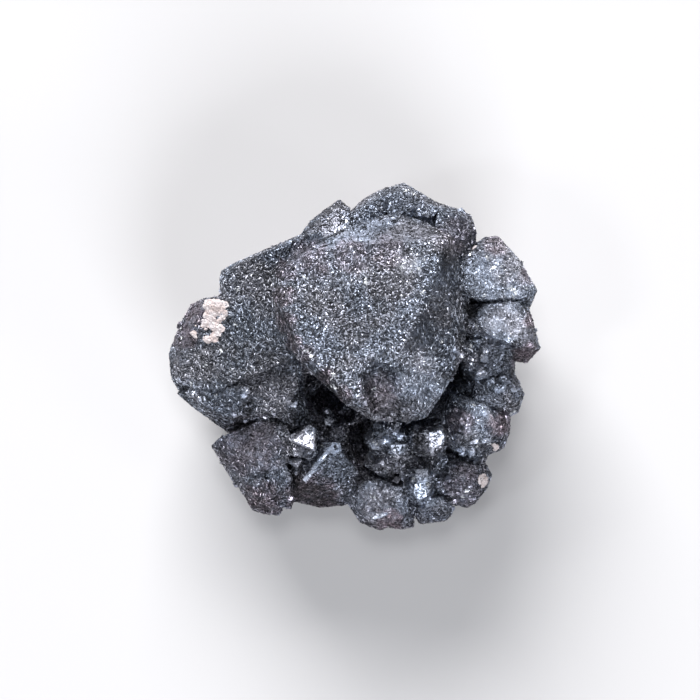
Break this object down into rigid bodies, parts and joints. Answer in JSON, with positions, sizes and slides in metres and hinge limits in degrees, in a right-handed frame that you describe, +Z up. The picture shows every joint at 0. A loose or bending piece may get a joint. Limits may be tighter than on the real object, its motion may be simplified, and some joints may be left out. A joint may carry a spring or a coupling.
{
  "type": "hematite pseudomorph specimen",
  "caption": "Cluster of dark grey octahedral crystals grown together, one large blunt crystal standing over smaller ones, with a pale crust, resting on a flat broken base.",
  "frame": {"origin": "middle of the bounding box in plan, on the flat base", "axes": "+Z up out of the base through the large crystal's broad face, +X along the longest side towards the two bright blocks, away from the broad plate, +Y across"},
  "size_m": [0.0402, 0.0377, 0.0208],
  "materials": {
    "hematite": "sparkling metallic grains",
    "pale_mineral": "dull granular"
  },
  "bodies": {
    "root": {"hematite_cluster": "hematite", "pale_crust": "pale_mineral"}
  },
  "joints": []
}
